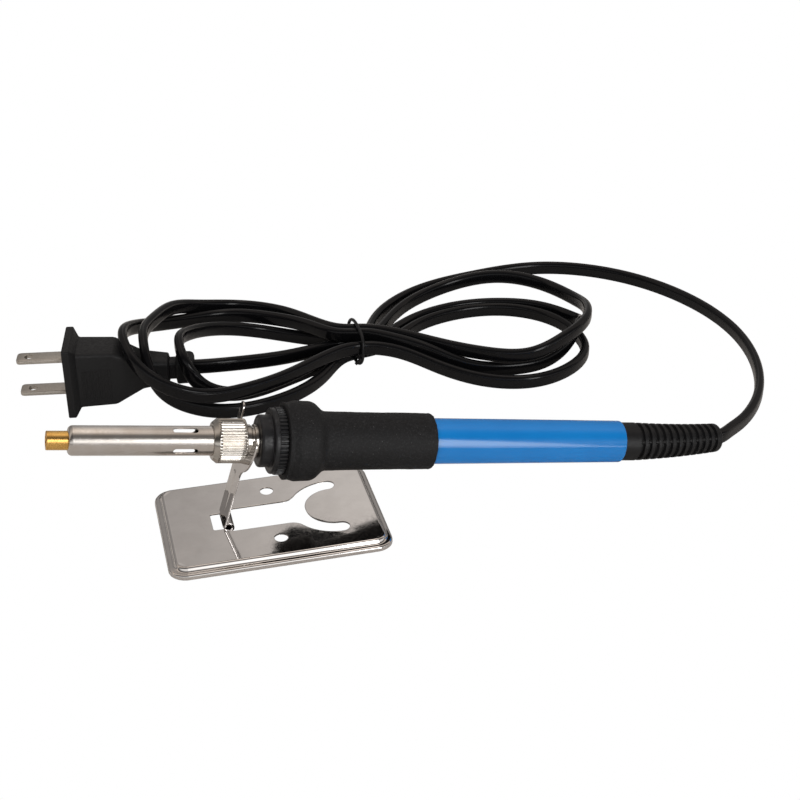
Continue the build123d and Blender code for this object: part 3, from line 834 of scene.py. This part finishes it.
def pressed_sheet(outer, holes, rim, thickness, place):
    """A pressed sheet: a flat face with soft-edged holes and a shaped rim, made solid downwards.

    rim lists (distance outside the flat face, height below it), going outwards.
    """
    roll = 0.16 * MM
    drop = 0.05 * MM
    shape = ([], [])
    add(shape, *flat_fill(outer, [moved_out(hole, roll) for hole in holes], 0))
    for hole in holes:
        add_band(shape, hole, ((roll, 0), (roll / 2, -drop / 4), (0, -drop)))
    add_band(shape, outer, [(out, -down) for out, down in rim])
    piece = solid(*shape, place, 60)
    wall = piece.modifiers.new("sheet", "SOLIDIFY")
    wall.thickness = thickness
    wall.offset = -1
    apply_modifiers(piece)
    flatten_shading(piece)
    return piece


plate_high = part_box("stand_base")[1]
sheet = 0.6 * MM
strap_half = 1.0 * MM
loop_r = 1.25 * MM


def make_stand():
    """Pressed plate: a low outer rim, a rounded step up, and the fork's opening, latch slot and holes."""
    flat_inset = 3.4 * MM
    half_x = plate_high.x - flat_inset
    half_y = plate_high.y - flat_inset
    top = plate_high.z
    outer = rounded_rectangle(half_x, half_y, 2.4 * MM)
    # crown of the inner bead, valley, outer roll and the standing edge
    rim = (
        (0.0, 0.0), (0.35, -0.06), (0.75, -0.02), (1.05, 0.16), (1.25, 0.5), (1.45, 0.95), (1.7, 1.25),
        (2.0, 1.38), (2.4, 1.38), (2.75, 1.42), (3.05, 1.56), (3.28, 1.85), (3.38, 2.3), (3.4, 3.0),
    )
    rim = [(out * MM, min(down * MM, top)) for out, down in rim]
    fork_high = local_corners("stand_fork", fork)[1]
    gap = 0.3 * MM
    outer_r = fork_high.y + gap
    inner_r = 9.5 * MM
    prong = (outer_r - inner_r) / 2
    centre = fork_hinge.x + fork_high.x + gap - prong
    strap_right = fork_hinge.x + strap_half
    strap_left = fork_hinge.x - strap_half
    opening_half = 6.1 * MM
    opening = rounded_stem(fork_outline(centre, strap_right, opening_half, inner_r, outer_r), 0.6 * MM)
    latch_reach = 1.9 * MM
    latch = [point + Vector((strap_left - latch_reach, 0)) for point in
             rounded_rectangle(latch_reach, 4.4 * MM, 0.7 * MM, 4)]
    holes = [opening, latch]
    pattern = mounts["stand_holes"]
    for way in (-1, 1):
        hole_y = way * pattern["dims"]["spacing_y_mm"] * MM / 2
        holes.append(arc((pattern["pos_m"][0], hole_y), pattern["dims"]["hole_r_mm"] * MM, 0, 352.5, 47))
    place = Matrix.Translation((0, 0, top))
    settle(pressed_sheet(outer, holes, rim, sheet, place), "stand_and_cord", "stand_base", "stand_nickel")


def rounded_stem(outline, radius):
    """Softens the first and the last corner of the Y outline."""
    corners = [(point.x, point.y, 0) for point in outline]
    corners[0] = (*outline[0], radius)
    corners[-1] = (*outline[-1], radius)
    return rounded(corners)


def make_fork():
    """Y-shaped fork: flat sheet with soft edges and a pressed groove, rolled round the strap."""
    high = local_corners("stand_fork", fork)[1]
    prong = 2.1 * MM
    outer_r = high.y
    centre = high.x - prong
    half_stem = 5.2 * MM
    outline = rounded_stem(fork_outline(centre, 0.6 * MM, half_stem, outer_r - 2 * prong, outer_r), 0.3 * MM)
    groove_low = 4.0 * MM
    groove_high = centre - outer_r - 1.5 * MM
    groove_width = 3.0 * MM
    groove_floor = -0.55 * MM
    depth = 0.28 * MM
    middle = (groove_low + groove_high) / 2
    groove = [Vector((middle + y, x)) for x, y in reversed(stadium(groove_high - groove_low, groove_width))]
    back = loop_r
    front = loop_r + sheet
    shape = plate(outline, [], back, front, 0.14 * MM, 0.3, [groove])
    # the groove is sunk into the one face and stands out from the other
    for level in (back, front):
        add_band(shape, groove, ((0, level), (-0.25 * MM, level + depth / 2), (groove_floor, level + depth)))
        add(shape, *flat_fill(moved_out(groove, groove_floor), [], level + depth))
    blade = solid(*shape, fork, 50)
    # the roll: a strip that leaves the stem's foot, passes under the strap and comes up behind it
    roll_width = 8.0 * MM
    signs = ((1, -1), (1, 1), (-1, 1), (-1, -1))
    section = rounded([(x * sheet / 2, y * roll_width / 2, 0.13 * MM) for x, y in signs])
    rings = []
    turns = 40
    for turn in range(turns + 1):
        # angle 90 is the stem's own side of the hinge
        angle = math.radians(92 - 300 * turn / turns)
        out = Vector((math.cos(angle), 0, math.sin(angle)))
        rings.append([tuple(out * (loop_r + sheet / 2 + x) + Vector((0, y, 0))) for x, y in section])
    piece = joined([blade, skin(rings, fork, 50)])
    flatten_shading(piece)
    settle(piece, "fork", "stand_fork", "stand_nickel")


# ---- the plug ----

def plug_ring(depth, height, width, corner, steps=6):
    """A rounded rectangle square to the plug's axis."""
    return [(depth, point.x, point.y) for point in rounded_rectangle(width / 2, height / 2, corner, steps)]


def make_plug():
    """Moulded plug: bevelled flange, ribbed flanks, taper, groove and end knob."""
    # depth, height, width and corner radius, in millimetres
    sections = (
        (0.0, 26.5, 19.5, 0.9),
        (0.25, 27.0, 20.0, 0.9),
        (2.4, 27.0, 20.0, 0.9),
        (2.7, 26.6, 19.6, 0.9),
        (4.4, 21.9, 15.4, 1.4),
        (4.9, 21.5, 15.0, 1.4),
        (16.5, 20.8, 14.2, 1.4),
        (17.5, 20.4, 14.0, 1.5),
        (26.4, 11.9, 10.7, 2.0),
        (27.4, 11.4, 10.5, 2.0),
        (35.6, 9.3, 8.9, 1.8),
        (36.0, 8.6, 8.2, 1.6),
        (36.3, 6.9, 5.8, 1.2),
        (38.4, 6.9, 5.8, 1.2),
        (38.7, 9.2, 8.6, 1.8),
        (39.2, 10.0, 9.4, 2.2),
        (43.6, 9.8, 9.2, 2.2),
        (44.6, 9.0, 8.4, 2.2),
        (45.0, 7.6, 7.0, 2.0),
    )
    rings = [plug_ring(*(value * MM for value in section)) for section in sections]
    pieces = [skin(rings, plug)]
    ribs = 12
    rib_pitch = 0.85 * MM
    rib_low = -8.0 * MM
    rib_high = 4.0 * MM
    for way in (-1, 1):
        for rib in range(ribs):
            depth = 6.2 * MM + rib * rib_pitch
            flank = way * (7.5 - 0.04 * (depth / MM - 4.9)) * MM
            section = [(depth + y, flank + x) for x, y in stadium(0.5 * MM, 0.34 * MM, 4)]
            rings = [[(x, y, z) for x, y in section] for z in (rib_low, rib_high)]
            pieces.append(skin(rings, plug))
    settle(smooth(joined(pieces), 28), "stand_and_cord", "plug_body", "plug_black")


def make_blades():
    """Two flat blades with round-cornered, bevelled ends and a hole each."""
    low, high = local_corners("plug_blades", plug)
    width = 6.35 * MM
    thickness = 1.5 * MM
    spacing = high.z - low.z - thickness
    hole = arc((low.x + 4.2 * MM, 0), 1.5 * MM, 0, 345, 23)
    corner_r = 1.7 * MM
    outline = rounded((
        (low.x, -width / 2, corner_r),
        (high.x, -width / 2, 0),
        (high.x, width / 2, 0),
        (low.x, width / 2, corner_r),
    ), 8)
    pieces = []
    for middle in (-spacing / 2, spacing / 2):
        shape = plate(outline, [hole], middle - thickness / 2, middle + thickness / 2, 0.28 * MM, 0.35)
        pieces.append(solid(*shape, plug))
    settle(smooth(joined(pieces), 40), "stand_and_cord", "plug_blades", "nickel", blade_finish)


# ---- the cord ----

cord_width = 5.5 * MM
cord_thickness = 3.3 * MM

# Heights of the cord's centre line, in millimetres: lying on the table, crossing over one strand,
# and the lower and upper strands where the tie gathers them.
lay = 2.9
over = 8.7
low = 4.5
top = 10.1

# The coil: three loops on each side of the tie, listed from the plug to the iron.
cord_points = (
    # plug to tie
    (4, 84, 12), (22, 91.5, 8), (36, 99.3, 5), (45, 101.5, low), (54, 102.6, low),
    # right loop, far
    (63.5, 112, 4.2), (78, 130, 3.6), (97, 138.5, 5.5), (117, 136, over), (133, 125, over),
    (141, 107, 9.5), (140, 92, 13), (134, 79, 14.5), (123, 70.5, 13.5), (109, 67, 10.5), (95, 73, 9.2),
    (78, 85, 9.4), (63, 96.3, top), (54, 100.9, top), (46, 102.9, top),
    # left loop, far
    (38, 110.5, 9.8), (28, 124.5, 9), (13, 134, 9), (-4, 130.5, 13), (-15.5, 119.5, 19.3), (-24, 104, 23.2),
    (-29, 91, 24.8), (-29.8, 82.5, 23.6), (-29.3, 77, 18.5), (-25, 71, 11), (-16, 67.5, 6), (-2, 66, 3.2),
    (16, 69.5, lay), (36, 85, 3), (45, 93.2, low), (54, 95.4, low),
    # right loop, near
    (66, 102.6, 3.6), (79, 113.5, lay), (97, 119.5, lay), (116, 117.5, lay), (129.5, 107.5, lay),
    (135.6, 93, lay), (134.5, 77.5, lay), (124.5, 66, lay), (109, 60.5, lay), (93, 64.5, lay),
    (76, 76, 5), (64, 86, 7.4), (54, 90.8, 7.9), (46, 90.6, 8.4),
    # left loop, widest
    (36, 85.9, 8.9), (20, 76.3, 8.7), (2, 68.8, 9.2), (-13, 65.2, 11.4), (-24.5, 67, 15.6), (-32, 72.6, 20),
    (-35.8, 80, 24.2), (-36.4, 90, 25.6), (-32.8, 101, 22.4), (-23, 115.5, 15.2), (-8, 125.3, 10.4),
    (8, 127.6, 9), (22, 121, 9.2), (34, 110, 10), (45, 99.4, top), (54, 97.2, top),
    # right loop, middle
    (62, 91.9, top), (73, 83, 9), (87, 75, 4.5), (103, 71.5, lay), (118, 73, 3.6), (128.5, 79, 7),
    (135.5, 88, 8.6), (140, 98, 4.4), (132, 113.5, lay), (117, 122, lay), (97, 124, lay), (79, 118.5, lay),
    (66, 107.8, 3.8), (54, 99.2, low), (46, 97.6, low),
    # left loop, small
    (36, 92, 3.2), (22, 84.3, lay), (6, 77.8, 3.1), (-6, 74.6, 6.5), (-13.2, 74.3, 12.5), (-16.4, 76.6, 18.8),
    (-17.4, 84, 22.2), (-14, 95.5, 20), (-6, 107.5, 14.8), (4, 115.8, 9.8), (14.5, 119.3, 5.8),
    (26, 117.3, 3.4), (36, 111, 3.6), (45, 106, low), (54, 106.8, low),
    # tie to the iron
    (60.5, 116.5, 3.6), (72, 132.5, lay), (88, 143, lay), (112, 149.5, lay), (140, 151, lay),
    (168, 138, lay), (189, 110, lay), (196.3, 80, lay), (193.8, 55.5, lay), (185.3, 33.9, lay),
    (176.5, 21.7, lay), (169, 14.7, 3.0), (162, 9.2, 3.9),
)


tail_direction = along * math.cos(boot_turn) + side * math.sin(boot_turn)


def cord_curve():
    """Points and directions of the smooth run through the listed points."""
    plug_exit = plug @ Vector((local_corners("plug_body", plug)[1].x + 0.05 * MM, 0, 0))
    cord_end = iron @ Vector(bent(tail, 0, 0)) + tail_direction * 0.05 * MM
    knots = [plug_exit] + [Vector(point) * MM for point in cord_points] + [cord_end]
    points = np.array([tuple(knot) for knot in knots])
    gaps = np.linalg.norm(np.diff(points, axis=0), axis=1)
    count = len(points)
    matrix = np.eye(count)
    target = np.zeros((count, 3))
    target[0] = plug_along
    target[-1] = -tail_direction
    slopes = np.diff(points, axis=0) / gaps[:, None]
    for index in range(1, count - 1):
        before, after = gaps[index - 1], gaps[index]
        matrix[index, index - 1:index + 2] = (after, 2 * (before + after), before)
        target[index] = 3 * (after * slopes[index - 1] + before * slopes[index])
    speeds = np.linalg.solve(matrix, target)
    pitch = 1.4 * MM
    places = []
    directions = []
    for index, gap in enumerate(gaps):
        start = points[index]
        across = points[index + 1] - start
        out = speeds[index] * gap
        into = speeds[index + 1] * gap
        square = 3 * across - 2 * out - into
        cube = out + into - 2 * across
        steps = max(2, round(gap / pitch))
        for step in range(steps + (index == count - 2)):
            t = step / steps
            places.append(Vector(start + t * (out + t * (square + t * cube))))
            directions.append(Vector(out + t * (2 * square + 3 * t * cube)).normalized())
    return places, directions


def cord_run(places, directions):
    """A stretch of flat cord standing on edge."""
    section = stadium(cord_width, cord_thickness, 9)
    rings = []
    for place, forward in zip(places, directions):
        sideways = UP.cross(forward).normalized()
        upright = forward.cross(sideways)
        rings.append([tuple(place + sideways * x + upright * y) for x, y in section])
    return skin(rings, sharp=60)


def make_cord():
    """The coil stays with the stand; the last stretch bends where the boot turns."""
    places, directions = cord_curve()
    split = next(index for index, place in enumerate(places) if place.x > 0.150 and place.y > 0.140)
    coil = cord_run(places[:split + 1], directions[:split + 1])
    coil.name = "cord_coil"
    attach(coil, "stand_and_cord")
    lead = cord_run(places[split:], directions[split:])
    lead.name = "cord_lead"
    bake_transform(lead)
    for piece in (coil, lead):
        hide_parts("cord")
        coat(piece, "cord_black")


def make_tie():
    """A thin round tie drawn round the bundle, with its ends overlapping at the front."""
    low_corner, high_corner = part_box("cord_tie")
    middle = (low_corner + high_corner) / 2
    half = (high_corner - low_corner) / 2
    wire = 0.62 * MM
    inset = 0.65 * MM
    path = []
    count = 72
    power = 0.72
    for step in range(count):
        angle = 2 * math.pi * step / count
        y = math.copysign(abs(math.cos(angle)) ** power, math.cos(angle)) * (half.y - inset)
        z = math.copysign(abs(math.sin(angle)) ** power, math.sin(angle)) * (half.z - inset)
        path.append(Vector((middle.x + 0.9 * MM * math.sin(angle - 0.6), middle.y + y, middle.z + z)))
    loop = tube(path, wire, True)
    # the overlapping ends, pressed together below the ring
    foot = Vector((middle.x - 0.6 * MM, low_corner.y + 1.2 * MM, low_corner.z + 3.0 * MM))
    end = [foot + Vector((0.25 * step - 1.6, -0.05 * step, 0.28 * step)) * MM for step in range(9)]
    settle(joined([loop, tube(end, wire)]), "stand_and_cord", "cord_tie", "boot_black")


def tube(path, radius, closed=False, points=10):
    """A round wire along a path."""
    rings = []
    count = len(path)
    for index, place in enumerate(path):
        if closed:
            forward = path[(index + 1) % count] - path[index - 1]
        else:
            forward = path[min(index + 1, count - 1)] - path[max(index - 1, 0)]
        forward.normalize()
        sideways = forward.orthogonal() if abs(forward.x) > 0.9 else Vector((1, 0, 0)).cross(forward)
        sideways.normalize()
        other = forward.cross(sideways)
        ring = []
        for point in range(points):
            angle = 2 * math.pi * point / points
            ring.append(tuple(place + (sideways * math.cos(angle) + other * math.sin(angle)) * radius))
        rings.append(ring)
    if not closed:
        return skin(rings, sharp=60)
    return solid([point for ring in rings for point in ring], ring_faces(count, points, True), sharp=60)


# ---- build ----

make_tip()
make_barrel()
make_nut()
make_ferrule()
make_collar()
make_grip()
make_tube()
make_boot()
make_stand()
make_fork()
make_plug()
make_blades()
make_cord()
make_tie()

slots = {part["node"]: part["material_slot"] for part in frame["record"]["subparts"]}
for node, piece in frame["nodes"].items():
    coat(piece, slots[node])


# ---- stage ----

def staged(name, corners):
    """A flat piece of the studio, which isn't part of the object."""
    mesh = bpy.data.meshes.new(name)
    mesh.from_pydata([Vector(corner) * MM for corner in corners], [], [tuple(range(len(corners)))])
    piece = bpy.data.objects.new(name, mesh)
    bpy.context.scene.collection.objects.link(piece)
    return piece


def make_floor():
    """White floor to the camera, and a duller one to mirror reflections."""
    half = 3000
    drop = -0.05
    corners = ((-half, -half, drop), (half, -half, drop), (half, half, drop), (-half, half, drop))
    floor = staged("floor", corners)
    made = Finish("floor_paper", (0.92, 0.92, 0.92), roughness=0.9, Specular_IOR_Level=0.0)
    made.mix(made.node("ShaderNodeLightPath").outputs["Is Glossy Ray"], (0.42, 0.40, 0.38), 0, 1)
    made.to_camera(made.node("ShaderNodeEmission", Strength=1.0), made.shader, "Material Output")
    floor.data.materials.append(made.material)


def make_world():
    """The studio: bands of brightness from front to back for the metals to mirror, and plain white behind."""
    world = bpy.data.worlds.new("studio")
    bpy.context.scene.world = world
    world.use_nodes = True
    made = Nodes(world.node_tree)
    split = made.node("ShaderNodeSeparateXYZ", Vector=made.node("ShaderNodeTexCoord").outputs["Generated"])
    forward = made.math("MULTIPLY", split.outputs["Y"], -1)
    angle = made.math("ARCTAN2", split.outputs["Z"], forward)
    # degrees from the front horizon, over the top, to the back horizon; brightness; and warmth
    bands = (
        (-90, 0.44, 0), (-30, 0.60, 0), (4, 0.60, 0), (12, 1.10, 0), (20, 1.70, 0), (30, 1.00, 0),
        (40, 0.40, 0.2), (50, 0.15, 0.3), (68, 0.15, 0.4), (82, 0.45, 1), (95, 1.05, 1), (105, 1.10, 1),
        (121, 0.80, 1), (146, 0.50, 0.4), (165, 0.40, 0.3), (180, 0.35, 0),
    )
    places = []
    for degrees, level, warmth in bands:
        colour = (level, level * (0.985 - 0.09 * warmth), level * (0.97 - 0.16 * warmth))
        places.append(((degrees + 180) / 360, colour))
    bands_seen = made.stops(made.ramp(angle, 0, 1, -math.pi, math.pi), places)
    # brighter towards the right of the plate, duller beyond it
    across = ((0.0, 0.62), (0.2, 1.45), (0.26, 0.7), (0.4, 0.6))
    strength = made.stops(split.outputs["X"], [(x, (level,) * 3) for x, level in across])
    studio = world.node_tree.nodes["Background"]
    made.put(bands_seen, studio.inputs["Color"])
    made.put(strength, studio.inputs["Strength"])
    white = made.node("ShaderNodeBackground", Color=(1, 1, 1, 1))
    made.to_camera(white, studio, "World Output")


def soft_light(name, place, target, width, height, power, mirrored=False):
    """A rectangular soft light aimed at a point."""
    data = bpy.data.lights.new(name, "AREA")
    data.shape = "RECTANGLE"
    data.size = width
    data.size_y = height
    data.energy = power
    light = bpy.data.objects.new(name, data)
    bpy.context.scene.collection.objects.link(light)
    light.location = place
    light.rotation_euler = (Vector(target) - Vector(place)).to_track_quat("-Z", "Y").to_euler()
    light.visible_glossy = mirrored


def make_card(name, corners, level):
    """A flat card of even brightness that only mirror reflections see."""
    card = staged(name, corners)
    made = Finish(name, (0.01, 0.01, 0.01), roughness=1, Specular_IOR_Level=0.0, Emission_Color=(1, 1, 1, 1),
                  Emission_Strength=level)
    card.data.materials.append(made.material)
    card.visible_camera = False
    card.visible_diffuse = False
    card.visible_shadow = False


def make_camera():
    """Looks down at the set from the front left."""
    data = bpy.data.cameras.new("camera")
    data.lens = 67.4
    data.sensor_width = 36
    camera = bpy.data.objects.new("camera", data)
    bpy.context.scene.collection.objects.link(camera)
    camera.location = Vector((-57.2, -389.3, 276.0)) * MM
    camera.rotation_euler = Vector((0.213, 0.834, -0.508)).to_track_quat("-Z", "Y").to_euler()
    bpy.context.scene.camera = camera


make_floor()
make_world()
# The flag makes the dark reflection on the plate's front right, and the bounce the lower half of the
# tube's highlight.
flag = ((22, 80), (37, 83), (47, 86), (58, 83), (72, 95), (70, 104), (8, 104), (11, 95), (15, 88))
make_card("flag", [(x, 100, z) for x, z in flag], 0)
make_card("bounce", ((140, -170, 0.5), (1500, -170, 0.5), (1500, -1300, 0.5), (240, -1300, 0.5)), 4)
soft_light("over", (0.1, 0.3, 1.3), (0.05, 0.05, 0), 1.6, 1.6, 15)
soft_light("left", (-0.5, -0.9, 0.8), (0, 0, 0), 0.9, 0.9, 4)
soft_light("window", (0.56, -1.35, 0.52), (0.1, 0, 0), 0.5, 1.0, 8, True)
make_camera()
bpy.context.scene.view_settings.view_transform = "Standard"
